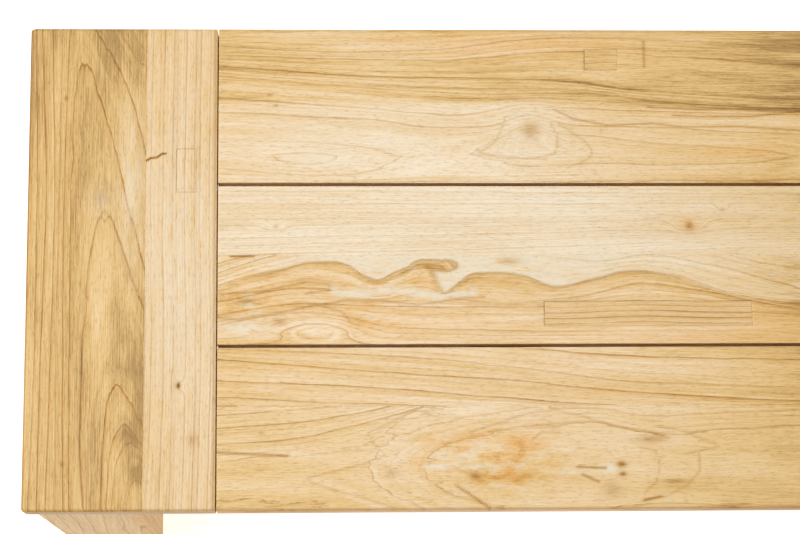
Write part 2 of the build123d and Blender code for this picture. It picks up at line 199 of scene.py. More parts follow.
def places_in_mm(board):
    """x from the left end, y from the front edge and depth below the seat's face of every vertex, in
    millimetres. The figures move x or y by RING_SLOPE times the depth, so that the rings go on down
    the edges."""
    flat = np.empty(len(board.data.vertices) * 3)
    board.data.vertices.foreach_get("co", flat)
    x, y, z = flat.reshape(-1, 3).T
    return (x - bench_low.x) / MM, (y - bench_low.y) / MM, (bench_high.z - z) / MM


def drift(s, *stops):
    """Smooth curve t(s) through a few stops, level beyond the last. Between two stops it is a cubic
    whose slope at a stop is the harmonic mean of the runs beside it, or level at a peak."""
    s_stop, t_stop = np.array(stops, float).T
    run = np.diff(t_stop) / np.diff(s_stop)
    both = run[:-1] * run[1:]
    bend = np.where(both > 0, 2 * both / np.where(both > 0, run[:-1] + run[1:], 1), 0)
    slope = np.concatenate([run[:1], bend, run[-1:]])
    i = np.clip(np.searchsorted(s_stop, s) - 1, 0, len(s_stop) - 2)
    span = s_stop[i + 1] - s_stop[i]
    u = np.clip((s - s_stop[i]) / span, 0, 1)
    return ((1 + 2 * u) * (1 - u) ** 2 * t_stop[i] + u * (1 - u) ** 2 * span * slope[i]
            + u * u * (3 - 2 * u) * t_stop[i + 1] - u * u * (1 - u) * span * slope[i + 1])


def layered(t, *lines):
    """Ring count at t, changing evenly from one growth line (count, place) to the next."""
    count = np.full_like(t, float(lines[0][0]))
    for (low_count, low_line), (high_count, high_line) in zip(lines, lines[1:]):
        count += (high_count - low_count) * np.clip((t - low_line) / (high_line - low_line), 0, 1)
    return count


def swell(s, t, at, reach, lift=1.0):
    """lift * exp(-u*u - v*v), a smooth mound with its middle at at and its half widths in reach."""
    u = (s - at[0]) / reach[0]
    v = (t - at[1]) / reach[1]
    return lift * np.exp(-u * u - v * v)


def crack(x, y, half_width, *points):
    """exp(-(d / half_width) ** 2), d the distance to a line of straight runs through points."""
    nearest = np.full_like(x, 1e9)
    for (x0, y0), (x1, y1) in zip(points, points[1:]):
        dx, dy = x1 - x0, y1 - y0
        u = np.clip(((x - x0) * dx + (y - y0) * dy) / (dx * dx + dy * dy), 0, 1)
        nearest = np.minimum(nearest, np.hypot(x - x0 - u * dx, y - y0 - u * dy))
    return np.exp(-(nearest / half_width) ** 2)


def strokes(x, y, half_width, *lines):
    """The strongest of several cracks, each a list of points."""
    return np.maximum.reduce([crack(x, y, half_width, *points) for points in lines])


def either(a, b, sharpness=7.0):
    """Rounded larger of two ring counts: log(exp(k*a) + exp(k*b)) / k."""
    return np.logaddexp(sharpness * a, sharpness * b) / sharpness


STREAKY = 0.9
STAINS = {"tone": 0.5, "warm": 0.0, "mark": 0.0, "bold": 1.0, "streaky": STREAKY, "chalk": 0.0, "burl": 0.0}
# Strengths of the painted shade in the joints and on the seat's rim, then distances in millimetres, as in
# the figures.
GAP_SHADE_STRENGTH = 0.9
RIM_SHADE_STRENGTH = 0.23
GAP_SHADE_CLEAR_OF_RIM = 4.0
GAP_SHADE_FOOT = 23
PROBE = 0.4
LEAST_CROWDING = 0.004


def paint(board, figure):
    """Stores on the vertices a board's ring count, how many rings it grows by in a millimetre (the
    length of its slope, probed a short step away), and its stains: depth of colour, orange, dark
    marks, strength of line and of streak, chalky weathering and burl. Painted shade darkens the walls
    of a joint, except near the seat's rim, whose edge takes a lighter painted shade with some orange."""
    x, y, depth = places_in_mm(board)
    ring, stains = figure(x, y, depth)
    across_x = figure(x + PROBE, y, depth)[0] - ring
    across_y = figure(x, y + PROBE, depth)[0] - ring
    values = {"ring": ring, "crowding": np.hypot(across_x, across_y) / PROBE + LEAST_CROWDING}
    values |= {key: stains.get(key, plain) + 0 * x for key, plain in STAINS.items()}
    length = (bench_high.x - bench_low.x) / MM
    width = (bench_high.y - bench_low.y) / MM
    from_rim = np.minimum(np.minimum(x, length - x), np.minimum(y, width - y))
    from_side = np.minimum(np.minimum(x - x.min(), x.max() - x), np.minimum(y - y.min(), y.max() - y))
    # Painted shade on the walls of each joint, from just under the arris down, kept off the seat's rim.
    wall = np.clip((depth - 0.4) / 1.2, 0, 1) * np.clip(GAP_SHADE_FOOT - depth, 0, 1) * (from_side < 1)
    gap_shade = stains.get("gap_shade", GAP_SHADE_STRENGTH) * wall * (from_rim > GAP_SHADE_CLEAR_OF_RIM)
    # Painted shade along the seat's rim and the edge of its face, lighter and tinged orange.
    rim_shade = RIM_SHADE_STRENGTH * np.clip(2 - from_rim, 0, 1) * np.clip(depth, 0.3, 1)
    values["mark"] = np.maximum(values["mark"], np.maximum(gap_shade, rim_shade))
    values["warm"] = np.maximum(values["warm"], 2.2 * rim_shade)
    for key, value in values.items():
        layer = board.data.attributes.new(key, "FLOAT", "POINT")
        layer.data.foreach_set("value", np.asarray(value, np.float32))


def linear(red, green, blue):
    """Colour from display values 0 to 255 to the linear ones of a shader."""
    return tuple(c / 3294.6 if c <= 10 else ((c / 255 + 0.055) / 1.055) ** 2.4
                 for c in (red, green, blue)) + (1.0,)


class Recipe:
    """A material's node tree, with short calls for the few kinds of node that the finishes use."""

    def __init__(self, name):
        self.material = bpy.data.materials.new(name)
        self.material.use_nodes = True
        self.tree = self.material.node_tree
        self.surface = self.tree.nodes["Principled BSDF"]
        self.object = self.node("ShaderNodeTexCoord").outputs["Object"]

    def node(self, kind, **settings):
        made = self.tree.nodes.new(kind)
        for key, value in settings.items():
            setattr(made, key, value)
        return made

    def put(self, socket, value):
        if isinstance(value, bpy.types.NodeSocket):
            self.tree.links.new(value, socket)
        else:
            socket.default_value = value

    def attribute(self, name):
        return self.node("ShaderNodeAttribute", attribute_name=name).outputs["Fac"]

    def math(self, operation, *values, clamp=False):
        made = self.node("ShaderNodeMath", operation=operation, use_clamp=clamp)
        for socket, value in zip(made.inputs, values):
            self.put(socket, value)
        return made.outputs[0]

    def times(self, first, second):
        return self.math("MULTIPLY", first, second)

    def plus(self, first, second):
        return self.math("ADD", first, second)

    def minus(self, first, second):
        return self.math("SUBTRACT", first, second)

    def over(self, first, second):
        return self.math("DIVIDE", first, second)

    def stretched(self, scale, shift=(0, 0, 0)):
        made = self.node("ShaderNodeMapping")
        self.put(made.inputs["Vector"], self.object)
        made.inputs["Scale"].default_value = scale
        made.inputs["Location"].default_value = shift
        return made.outputs[0]

    def noise(self, scale, detail=2.0, roughness=0.5, shift=(0, 0, 0)):
        made = self.node("ShaderNodeTexNoise")
        self.put(made.inputs["Vector"], self.stretched(scale, shift))
        made.inputs["Scale"].default_value = 1.0
        made.inputs["Detail"].default_value = detail
        made.inputs["Roughness"].default_value = roughness
        return made.outputs["Fac"]

    def shades(self, value, stops):
        made = self.node("ShaderNodeValToRGB")
        self.put(made.inputs[0], value)
        bar = made.color_ramp.elements
        while len(bar) < len(stops):
            bar.new(0.5)
        for element, (place, colour) in zip(bar, stops):
            element.position = place
            element.color = colour
        return made.outputs[0]

    def levels(self, value, *stops):
        return self.shades(value, [(place, (level, level, level, 1.0)) for place, level in stops])

    def between(self, value, low, high, to_low=0.0, to_high=1.0):
        made = self.node("ShaderNodeMapRange")
        for key, given in (("Value", value), ("From Min", low), ("From Max", high),
                           ("To Min", to_low), ("To Max", to_high)):
            self.put(made.inputs[key], given)
        return made.outputs[0]

    def mix(self, factor, first, second, blend="MIX"):
        made = self.node("ShaderNodeMix", data_type="RGBA", blend_type=blend)
        self.put(made.inputs[0], factor)
        self.put(made.inputs[6], first)
        self.put(made.inputs[7], second)
        return made.outputs[2]

    def stained(self, colour, amount, stain):
        return self.mix(amount, colour, stain, "MULTIPLY")

    def finish(self, colour, roughness, relief, depth):
        self.put(self.surface.inputs["Base Color"], colour)
        self.put(self.surface.inputs["Roughness"], roughness)
        bump = self.node("ShaderNodeBump")
        bump.inputs["Strength"].default_value = 1.0
        bump.inputs["Distance"].default_value = depth
        self.put(bump.inputs["Height"], relief)
        self.put(self.surface.inputs["Normal"], bump.outputs[0])
        return self.material


SEAT_SHADES = ((0.0, linear(250, 232, 203)), (0.3, linear(243, 213, 168)), (0.6, linear(235, 198, 133)),
               (0.8, linear(219, 178, 108)), (1.0, linear(180, 140, 76)))
LINE_STAIN = (0.62, 0.44, 0.16, 1.0)
SOFT_STAIN = (0.89, 0.77, 0.50, 1.0)
ORANGE_STAIN = (0.98, 0.78, 0.50, 1.0)
MARK_AND_SHADE_STAIN = (0.24, 0.15, 0.04, 1.0)
BURL_STAIN = (0.94, 0.79, 0.48, 1.0)
PORE_STAIN = (0.74, 0.63, 0.42, 1.0)
CHALK = linear(240, 224, 195)
LATEWOOD = 1.3
LINE_DEPTH = 0.9
SHADE_DEPTH = 0.45
FINE_LINES = 3.0
FINE_LINE_DEPTH = 0.36
PORE_DEPTH = 0.45
FIBRE_DEPTH = 0.95
BROAD_DEPTH = 0.75
WAVER = 0.26
STREAKS_PER_RING = 3.0
STREAKS_PER_METRE = 6.0
SAWN_PITCH = 0.0085
SAWN_CROWDING = 0.12
SAWN_WANDER = 0.03
END_HEART_ASIDE = 1.3
END_HEART_BELOW = 0.1
END_PITCH = 0.0034
ARC_DEPTH = 0.45
FACE_RELIEF = 0.00018
END_RELIEF = 0.00012


def along_grain(along, run, width):
    """Scale of a pattern whose features are run long down the grain and width across it, in metres."""
    scale = [1 / width] * 3
    scale[along] = 1 / run
    return tuple(scale)


def heart_rings(wood, along, heart, pitch):
    """Ring count of sawn timber: the distance from the tree's heart, a line along the grain through
    heart, divided by the pitch, with a slow wander that makes the lines of each face run askew."""
    split = wood.node("ShaderNodeSeparateXYZ")
    wood.put(split.inputs[0], wood.object)
    squares = []
    for axis in (a for a in range(3) if a != along):
        away = wood.minus(split.outputs[axis], heart[axis])
        squares.append(wood.math("POWER", away, 2.0))
    distance = wood.math("SQRT", wood.plus(*squares))
    wander = wood.noise(along_grain(along, 0.35, 0.06), 1.0)
    distance = wood.plus(distance, wood.times(wander, SAWN_WANDER))
    return wood.over(distance, pitch)


def teak_face(name, along, heart=None, tone=0.5, shades=SEAT_SHADES):
    """Planed teak. A dark line stands where the ring count passes a whole number, each with its own
    strength, and a fainter one at every third of a ring. Streaks follow the rings, and fibres and
    open pores the grain. Without a heart, the count and stains are those painted on the vertices. A
    mark there, which holds real marks and the painted shade of joints and rim, turns the wood brown
    first and nearly black where it is strong."""
    wood = Recipe(name)
    painted = heart is None
    ring = wood.attribute("ring") if painted else heart_rings(wood, along, heart, SAWN_PITCH)
    crowding = wood.attribute("crowding") if painted else SAWN_CROWDING
    waver = wood.noise(along_grain(along, 0.05, 0.006), 3.0)
    count = wood.plus(ring, wood.times(wood.minus(waver, 0.5), WAVER))
    split = wood.node("ShaderNodeSeparateXYZ")
    wood.put(split.inputs[0], wood.object)
    streak_place = wood.node("ShaderNodeCombineXYZ")
    wood.put(streak_place.inputs[0], wood.times(count, STREAKS_PER_RING))
    wood.put(streak_place.inputs[1], wood.times(split.outputs[along], STREAKS_PER_METRE))
    streak = wood.node("ShaderNodeTexNoise")
    wood.put(streak.inputs["Vector"], streak_place.outputs[0])
    streak.inputs["Scale"].default_value = 1.0
    streak.inputs["Detail"].default_value = 5.0
    streak.inputs["Roughness"].default_value = 0.72
    fibre = wood.noise(along_grain(along, 0.03, 0.0009), 3.0, 0.7)
    broad = wood.noise(along_grain(along, 0.22, 0.025), 2.0)
    pore = wood.between(wood.noise(along_grain(along, 0.006, 0.0006), 1.0, shift=(3, 5, 7)), 0.60, 0.74)
    fading = wood.between(wood.noise(along_grain(along, 0.07, 0.012), 2.0), 0.3, 0.62, 0.5, 1.0)

    def lines(turns, spread_before, spread_after, scale):
        """Strength of a line at every whole number of turns, and of the soft shade that leads to it."""
        own = wood.node("ShaderNodeTexWhiteNoise", noise_dimensions="1D")
        wood.put(own.inputs["W"], wood.math("ROUND", turns))
        strength = wood.times(wood.between(own.outputs["Value"], 0.0, 1.0, 0.5, 1.0), fading)
        past = wood.math("FRACT", turns)
        pace = wood.times(crowding, scale)
        before_line = wood.over(wood.minus(1.0, past), pace)
        after_line = wood.over(past, pace)
        crisp = wood.math("MAXIMUM", wood.between(before_line, 0.0, spread_before, 1.0, 0.0),
                          wood.between(after_line, 0.0, spread_after, 1.0, 0.0))
        shade = wood.between(before_line, 0.0, 4.5 * spread_before, 1.0, 0.0)
        return wood.times(crisp, strength), wood.times(shade, strength)

    line, shade = lines(count, LATEWOOD, 0.5, 1.0)
    fine_line, _ = lines(wood.times(count, FINE_LINES), 0.9, 0.4, FINE_LINES)
    if painted:
        line = wood.times(line, wood.attribute("bold"))
        shade = wood.times(shade, wood.attribute("bold"))
    streaky = wood.attribute("streaky") if painted else STREAKY
    deep = wood.times(wood.minus(broad, 0.5), BROAD_DEPTH)
    deep = wood.plus(deep, wood.times(wood.minus(fibre, 0.5), FIBRE_DEPTH))
    banding = wood.minus(streak.outputs["Fac"], 0.5)
    deep = wood.plus(deep, wood.times(banding, streaky))
    deep = wood.math("ADD", deep, wood.attribute("tone") if painted else tone, clamp=True)
    colour = wood.shades(deep, shades)
    if painted:
        colour = wood.stained(colour, wood.attribute("warm"), ORANGE_STAIN)
    colour = wood.stained(colour, wood.times(shade, SHADE_DEPTH), SOFT_STAIN)
    colour = wood.stained(colour, wood.times(line, LINE_DEPTH), LINE_STAIN)
    fine_line = wood.times(fine_line, streaky)
    colour = wood.stained(colour, wood.times(fine_line, FINE_LINE_DEPTH), LINE_STAIN)
    colour = wood.stained(colour, wood.times(pore, PORE_DEPTH), PORE_STAIN)
    relief = wood.minus(wood.times(fibre, 0.5), wood.times(pore, 0.8))
    relief = wood.minus(relief, wood.times(line, 0.4))
    if painted:
        blotch = wood.noise(along_grain(along, 0.02, 0.009), 5.0, 0.66, shift=(10.85, 2, 4))
        burl = wood.attribute("burl")
        tan = wood.times(burl, wood.between(blotch, 0.48, 0.6))
        brown = wood.times(burl, wood.between(blotch, 0.58, 0.72, 0.0, 0.5))
        pale = wood.times(burl, wood.between(blotch, 0.34, 0.46, 0.6, 0.0))
        colour = wood.mix(pale, colour, CHALK)
        colour = wood.stained(colour, tan, BURL_STAIN)
        colour = wood.stained(colour, brown, LINE_STAIN)
        haze = wood.between(wood.noise(along_grain(along, 0.02, 0.004), 4.0, 0.65), 0.32, 0.52)
        colour = wood.mix(wood.times(wood.attribute("chalk"), haze), colour, CHALK)
        # mark holds real marks and the painted shade of the joints' walls and the seat's rim.
        mark = wood.attribute("mark")
        colour = wood.stained(colour, wood.between(mark, 0.0, 0.5), LINE_STAIN)
        colour = wood.stained(colour, wood.between(mark, 0.45, 1.0), MARK_AND_SHADE_STAIN)
        relief = wood.minus(relief, mark)
    return wood.finish(colour, wood.between(fibre, 0.3, 0.7, 0.46, 0.62), relief, FACE_RELIEF)


def teak_end(name, along):
    """Sawn end of a teak board: arcs of rings about a heart far to one side and below the floor, cut
    pores and a duller colour."""
    wood = Recipe(name)
    split = wood.node("ShaderNodeSeparateXYZ")
    wood.put(split.inputs[0], wood.object)
    sideways = wood.math("POWER", wood.plus(split.outputs[1 - along], END_HEART_ASIDE), 2.0)
    upwards = wood.math("POWER", wood.plus(split.outputs[2], END_HEART_BELOW), 2.0)
    radius = wood.math("SQRT", wood.plus(sideways, upwards))
    radius = wood.plus(radius, wood.times(wood.noise((30, 30, 30), 3.0), 0.004))
    arcs = wood.math("FRACT", wood.over(radius, END_PITCH))
    arcs = wood.levels(arcs, (0.0, 0.2), (0.5, 0.1), (0.9, 1.0), (1.0, 0.3))
    pore = wood.between(wood.noise((2600, 2600, 2600), 1.0), 0.56, 0.66)
    patchy = wood.noise((45, 45, 45), 3.0)
    colour = wood.mix(patchy, linear(222, 190, 140), linear(192, 152, 100))
    colour = wood.stained(colour, wood.times(arcs, ARC_DEPTH), LINE_STAIN)
    colour = wood.stained(colour, pore, PORE_STAIN)
    relief = wood.minus(0.0, wood.plus(pore, arcs))
    return wood.finish(colour, wood.between(arcs, 0.0, 1.0, 0.6, 0.72), relief, END_RELIEF)


face_finish = {LENGTHWISE: teak_face("plank_teak_face", LENGTHWISE),
               CROSSWISE: teak_face("end_board_teak_face", CROSSWISE)}
end_finish = {LENGTHWISE: teak_end("plank_teak_end", LENGTHWISE),
              CROSSWISE: teak_end("end_board_teak_end", CROSSWISE)}


def dress(piece, node, along, figure):
    """Gives the piece that stands for a CAD node its figure, finishes and body, and hides the node."""
    paint(piece, figure)
    piece.data.materials.append(face_finish[along])
    piece.data.materials.append(end_finish[along])
    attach(piece, "root")
    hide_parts(node)


def lay_board(node, along, arrises, ends, seed, figure, pockets=()):
    """Makes the board that stands for a CAD node, filling that node's box."""
    low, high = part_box(node)
    board = sawn_board(node + "_board", low, high, along, arrises, ends, seed, pockets)
    dress(board, node, along, figure)


# The rear plank is one wide board. Its rings close in a line near the front edge, and a sound knot
# behind that line has pushed them apart. The rear half is deeper in colour.
def deeper(x):
    """How much deeper the colour of every plank is at x: least about a quarter of the way along."""
    return drift(x, (150, 0.08), (230, 0.02), (300, -0.05), (430, -0.05), (520, 0.02), (580, 0.12),
                 (640, 0.24), (900, 0.08), (1350, 0.1))


def rear_plank_figure(x, y, depth):
    y = y + RING_SLOPE * depth
    core = swell(x, y, (412, 313), (7, 7))
    ring = layered(
        y,
        (2.0, drift(x, (150, 268), (640, 270), (1350, 262))),
        (1.0, drift(x, (150, 281), (250, 275), (350, 277), (456, 284), (640, 283), (1350, 280))),
        (0.3, drift(x, (150, 293), (300, 291), (450, 296), (640, 291), (1350, 300))),
        (1.0, drift(x, (150, 306), (300, 300), (453, 309), (520, 302), (640, 299), (1350, 316))),
        (2.0, drift(x, (150, 329), (270, 323), (345, 316), (466, 317), (640, 311), (1350, 330))),
        (3.0, drift(x, (150, 341), (290, 331), (345, 326), (410, 333), (500, 330), (640, 327), (1350, 345))),
        (4.0, drift(x, (150, 360), (270, 350), (395, 344), (459, 345), (520, 338), (640, 332), (1350, 356))),
        (5.0, drift(x, (150, 368), (290, 359), (420, 357), (507, 347), (640, 340), (1350, 366))),
        (6.0, drift(x, (150, 377), (340, 373), (436, 381), (563, 375), (640, 370), (1350, 378))),
        (7.0, drift(x, (150, 385), (266, 380), (338, 383), (440, 393), (640, 387), (1350, 388))),
        (8.0, drift(x, (150, 397), (640, 401), (1350, 399))),
    )
    ring += swell(x, y, (335, 290), (55, 13), 0.9) - swell(x, y, (228, 288), (36, 9), 0.75)
    ring += swell(x, y, (665, 291), (60, 14), 0.9) - swell(x, y, (411, 313), (20, 17), 1.1)
    ring += swell(x, y, (930, 300), (90, 16), 1.4) - swell(x, y, (1150, 318), (70, 12), 1.2)
    boundary = drift(x, (150, 335), (420, 335), (560, 330), (640, 326), (1350, 334))
    above = np.clip((y - boundary) / 5, 0, 1)
    to_right = np.clip((x - 230) / 280, 0, 1)
    strong = drift(x, (150, 368), (290, 359), (420, 357), (507, 347), (640, 340), (1350, 366))
    tone = 0.16 + deeper(x) + 0.26 * to_right + 0.1 * swell(x, y, (170, 350), (70, 90))
    tone = tone + above * (0.34 - 0.12 * to_right)
    bands = np.exp(-((y - strong) / 3) ** 2) + 0.6 * np.exp(-((y - strong + 9) / 3) ** 2)
    bands += np.exp(-((y - boundary - 4) / 3) ** 2) * np.clip((x - 150) / 400, 0.4, 1)
    tone = tone + 0.2 * bands
    tone = tone - swell(x, y, (420, 385), (80, 10), 0.15) - swell(x, y, (412, 310), (45, 26), 0.12)
    warm = swell(x, y, (410, 388), (100, 10), 0.55) + swell(x, y, (590, 296), (40, 5), 0.6)
    mark = 0.35 * core + 0.35 * crack(x, y, 1.2, (508, 368), (508, 389))
    mark += 0.42 * strokes(
        x, y, 0.8,
        [(432, 331), (447, 323), (475, 317.5), (513, 319), (539, 316), (584, 316.5), (637, 313)],
        [(530, 326), (553, 325), (596, 325), (640, 330)],
        [(509, 333), (549, 331), (640, 332)],
    )
    mark += 0.2 * strokes(
        x, y, 1.0,
        [(435, 319), (445, 312), (456, 304), (463, 296), (461, 290), (452, 285), (441, 281)],
        [(429, 319), (433, 310), (434, 300), (431, 293), (420, 290), (405, 289), (389, 290), (376, 292.5),
         (369, 294.5), (376, 298), (383, 304), (388, 315), (392, 325)],
    )
    mark += 0.45 * swell(x, y, (197, 343), (2, 1.2)) + 0.45 * swell(x, y, (202, 334), (2, 1.2))
    bold = 0.75 + 0.1 * above - swell(x, y, (411, 308), (40, 30), 0.5)
    chalk = swell(x, y, (240, 288), (22, 5), 0.8) + swell(x, y, (411, 312), (30, 24), 0.4)
    chalk += swell(x, y, (250, 310), (110, 22), 0.25)
    streaky = 0.85 + 0.6 * above + 0.4 * np.clip(bands, 0, 1)
    return ring, {"tone": tone, "warm": warm, "mark": mark, "bold": bold, "chalk": chalk,
                  "streaky": streaky, "burl": 0.5 * core}


plank_end_round = (ARRIS, ARRIS)
lay_board("rear_plank", LENGTHWISE, (ARRIS, ARRIS, OUTER_ROUND, OUTER_ROUND),
          plank_end_round, 11, rear_plank_figure,
          [pocket_for("rear_plank_inlay", LENGTHWISE)])


# The middle plank is glued up from two strips. The rear one is the palest wood of the seat, cut on
# the quarter, with straight fine lines and three small knots.
def middle_rear_figure(x, y, depth):
    y = y + RING_SLOPE * depth
    rise = drift(x, (150, 0), (400, 7), (640, 19), (1350, 6)) * (1 - (y - 208) / 44)
    ring = np.interp(y - rise, (160, 208, 216, 222, 233, 238, 251, 262, 300), (-5, 0, 1, 2, 3, 4, 5, 6, 9))
    ring += swell(x, y, (541, 232), (14, 8), 1.6) + swell(x, y, (202, 232), (9, 4), 0.9)
    ring += swell(x, y, (569, 246), (7, 4), 0.7) + swell(x, y, (1020, 240), (30, 9), 1.3)
    tone = 0.16 + deeper(x) + 0.12 * np.clip((x - 420) / 160, 0, 1) + swell(x, y, (541, 232), (16, 9), 0.2)
    warm = swell(x, y, (541, 232), (7, 5), 0.9)
    mark = 0.5 * swell(x, y, (541, 232), (3.5, 2.6)) + 0.35 * swell(x, y, (202, 232), (2, 1.5))
    mark += 0.35 * swell(x, y, (569, 246), (1.8, 1.4))
    return ring, {"tone": tone, "warm": warm, "mark": mark, "bold": 0.4, "chalk": 0.3, "streaky": 1.0}


lay_board("middle_plank_rear_strip", LENGTHWISE, (GLUED_ARRIS, GLUED_ARRIS, ARRIS, ARRIS),
          plank_end_round, 12, middle_rear_figure)


# The front strip of the middle plank is flat-sawn. A wandering crest, with a hooked tongue and a pale
# drop beside it, parts greyish sapwood at the rear from tan heartwood in front. A long pocket for a
# patch is cut into its front right.
def middle_front_figure(x, y, depth):
    y = y + RING_SLOPE * depth
    crest = drift(x, (150, 180), (181, 190), (208, 196), (230, 201.5), (248, 202), (261, 199), (272, 191.5),
                  (285, 187), (298, 193), (310, 198), (314, 201.5), (321, 203.7), (335, 203.6), (350.5, 187),
                  (363, 192), (381, 193), (403, 190.5), (430, 181), (460, 187), (493, 194), (526, 190),
                  (575, 175), (640, 168), (1350, 180))
    ring = layered(
        y,
        (0.0, drift(x, (150, 134), (1350, 134))),
        (1.0, drift(x, (150, 150), (223, 160), (304, 148), (446, 145), (590, 145), (640, 142), (1350, 144))),
        (2.0, drift(x, (150, 158), (226, 168), (330, 165), (392, 165), (500, 170), (640, 158), (1350, 156))),
        (3.0, drift(x, (150, 169), (226, 181), (284, 174), (318, 182), (350, 171), (392, 168), (447, 173),
                    (500, 184), (541, 180), (640, 163), (1350, 168))),
        (4.0, crest + 1.5),
        (5.0, drift(x, (150, 192), (208, 209), (300, 216), (380, 214), (433, 206), (460, 203), (507, 208),
                    (546, 202), (620, 183), (640, 178), (1350, 192))),
        (6.0, drift(x, (150, 200), (250, 222), (500, 222), (640, 196), (1350, 205))),
        (7.0, drift(x, (150, 236), (1350, 240))),
    )
    ring -= swell(x, y, (235, 146), (30, 9), 1.0)
    ring += swell(x, y, (900, 165), (80, 12), 1.2) - swell(x, y, (1120, 160), (60, 10), 1.0)
    drop = np.minimum((y - 178 + 2.2 * (x - 337)) / 2.4, (y - 178 - 0.8 * (x - 343)) / 1.3)
    drop = np.minimum(drop, y - 176.5)
    in_drop = swell(x, y, (336, 186), (9, 11))
    sapwood = np.maximum(y - crest, np.minimum(drop, 195 - y))
    sapwood = np.minimum(sapwood, np.hypot((x - 341) / 1.9, y - 199.2) - 4.4)
    ahead = np.clip(0.5 - sapwood / (3 + 1.5 * in_drop), 0, 1)
    plain = np.clip((x - 400) / 80, 0, 1) * np.clip((170 - y) / 12, 0, 1)
    tongue = np.clip((x - 165) / 40, 0, 1) * np.clip((560 - x) / 60, 0, 1)
    border = np.exp(-((sapwood + 2) / 2.4) ** 2) * tongue
    tone = 0.22 + deeper(x) + 0.23 * ahead - 0.16 * plain + 0.22 * border
    tone = tone - swell(x, y, (330, 152), (60, 15), 0.16) + swell(x, y, (620, 185), (50, 26), 0.22)
    tone = tone - swell(x, y, (238, 150), (24, 7), 0.4) + swell(x, y, (318, 199), (18, 5), 0.2)
    tone = tone + swell(x, y, (230, 166), (30, 3), 0.2) + swell(x, y, (268, 152), (9, 10), 0.25)
    tone = tone + swell(x, y, (178, 168), (12, 5), 0.35) + swell(x, y, (393, 204), (10, 3), 0.45)
    warm = 0.15 * ahead + 0.25 * plain + swell(x, y, (290, 150), (60, 16), 0.3)
    edge = np.exp(-(sapwood / (1 + 0.9 * in_drop)) ** 2) * tongue * (1 - 0.55 * in_drop)
    mark = 0.42 * edge + 0.8 * crack(x, y, 0.9, (166, 207.3), (184, 207.6))
    mark += 0.3 * strokes(
        x, y, 1.0,
        [(153, 157), (172, 154.5), (208, 161), (236, 167), (256, 161), (263, 152)],
        [(234, 166), (262, 171), (288, 170), (318, 167), (354, 172), (372, 173)],
        [(153, 176), (190, 178), (228, 186), (246, 184), (246, 179), (226, 176)],
    )
    mark += 0.35 * swell(x, y, (206, 153), (5, 3)) + 0.25 * swell(x, y, (393, 203), (9, 2.4))
    mark += 0.35 * swell(x, y, (180, 170), (5, 2)) + 0.3 * swell(x, y, (629, 168), (9, 2.5))
    smear = crack(x, y, 3.6, (250, 177.5), (272, 176), (299, 180), (318, 176), (332, 173), (363, 177))
    chalk = 0.85 * (1 - ahead) * np.clip((x - 180) / 60, 0, 1) * np.clip((620 - x) / 200, 0.3, 1)
    chalk = np.maximum(chalk, np.maximum(1.1 * smear, swell(x, y, (177, 148), (20, 7))))
    burl = swell(x, y, (175, 166), (22, 10), 0.9) + swell(x, y, (280, 155), (30, 12), 0.5)
    burl += swell(x, y, (320, 192), (22, 8), 0.5) + 0.3 * np.clip((560 - x) / 100, 0, 1) * (y > 160)
    return ring, {"tone": tone, "warm": warm, "mark": mark, "chalk": chalk, "burl": burl,
                  "bold": 0.75 - 0.4 * plain, "streaky": 1.6 - 0.9 * plain}


lay_board("middle_plank_front_strip", LENGTHWISE, (ARRIS, ARRIS, GLUED_ARRIS, GLUED_ARRIS),
          plank_end_round, 13, middle_front_figure,
          [pocket_for("middle_plank_inlay", LENGTHWISE)])


# The front plank is glued up too. Its rear strip has long, nearly straight heartwood lines that sink
# towards the front on their way to the right.
def front_rear_figure(x, y, depth):
    y = y + RING_SLOPE * depth
    ring = layered(
        y,
        (0.0, drift(x, (150, 74), (1350, 66))),
        (1.0, drift(x, (150, 92), (272, 86), (400, 82), (640, 76), (1350, 78))),
        (2.0, drift(x, (150, 105), (265, 100), (391, 90), (476, 84), (640, 80), (1350, 88))),
        (3.0, drift(x, (150, 123), (272, 113), (391, 105), (476, 96), (569, 90), (640, 87), (1350, 97))),
        (4.0, drift(x, (150, 131), (257, 127), (334, 122), (414, 113), (500, 103), (640, 98), (1350, 110))),
        (5.0, drift(x, (150, 140), (334, 136), (453, 127), (524, 123), (640, 121), (1350, 124))),
        (6.0, drift(x, (150, 150), (640, 136), (1350, 138))),
    )
    ring += swell(x, y, (880, 108), (70, 9), 1.1)
    tone = 0.41 + deeper(x) + 0.1 * np.clip((x - 470) / 90, 0, 1) - swell(x, y, (540, 112), (90, 8), 0.1)
    mark = 0.5 * crack(x, y, 0.8, (150, 84.2), (170, 84.2))
    return ring, {"tone": tone, "warm": 0.1, "mark": mark, "bold": 1.3, "streaky": 1.1}


lay_board("front_plank_rear_strip", LENGTHWISE, (GLUED_ARRIS, GLUED_ARRIS, ARRIS, ARRIS),
          plank_end_round, 14, front_rear_figure)


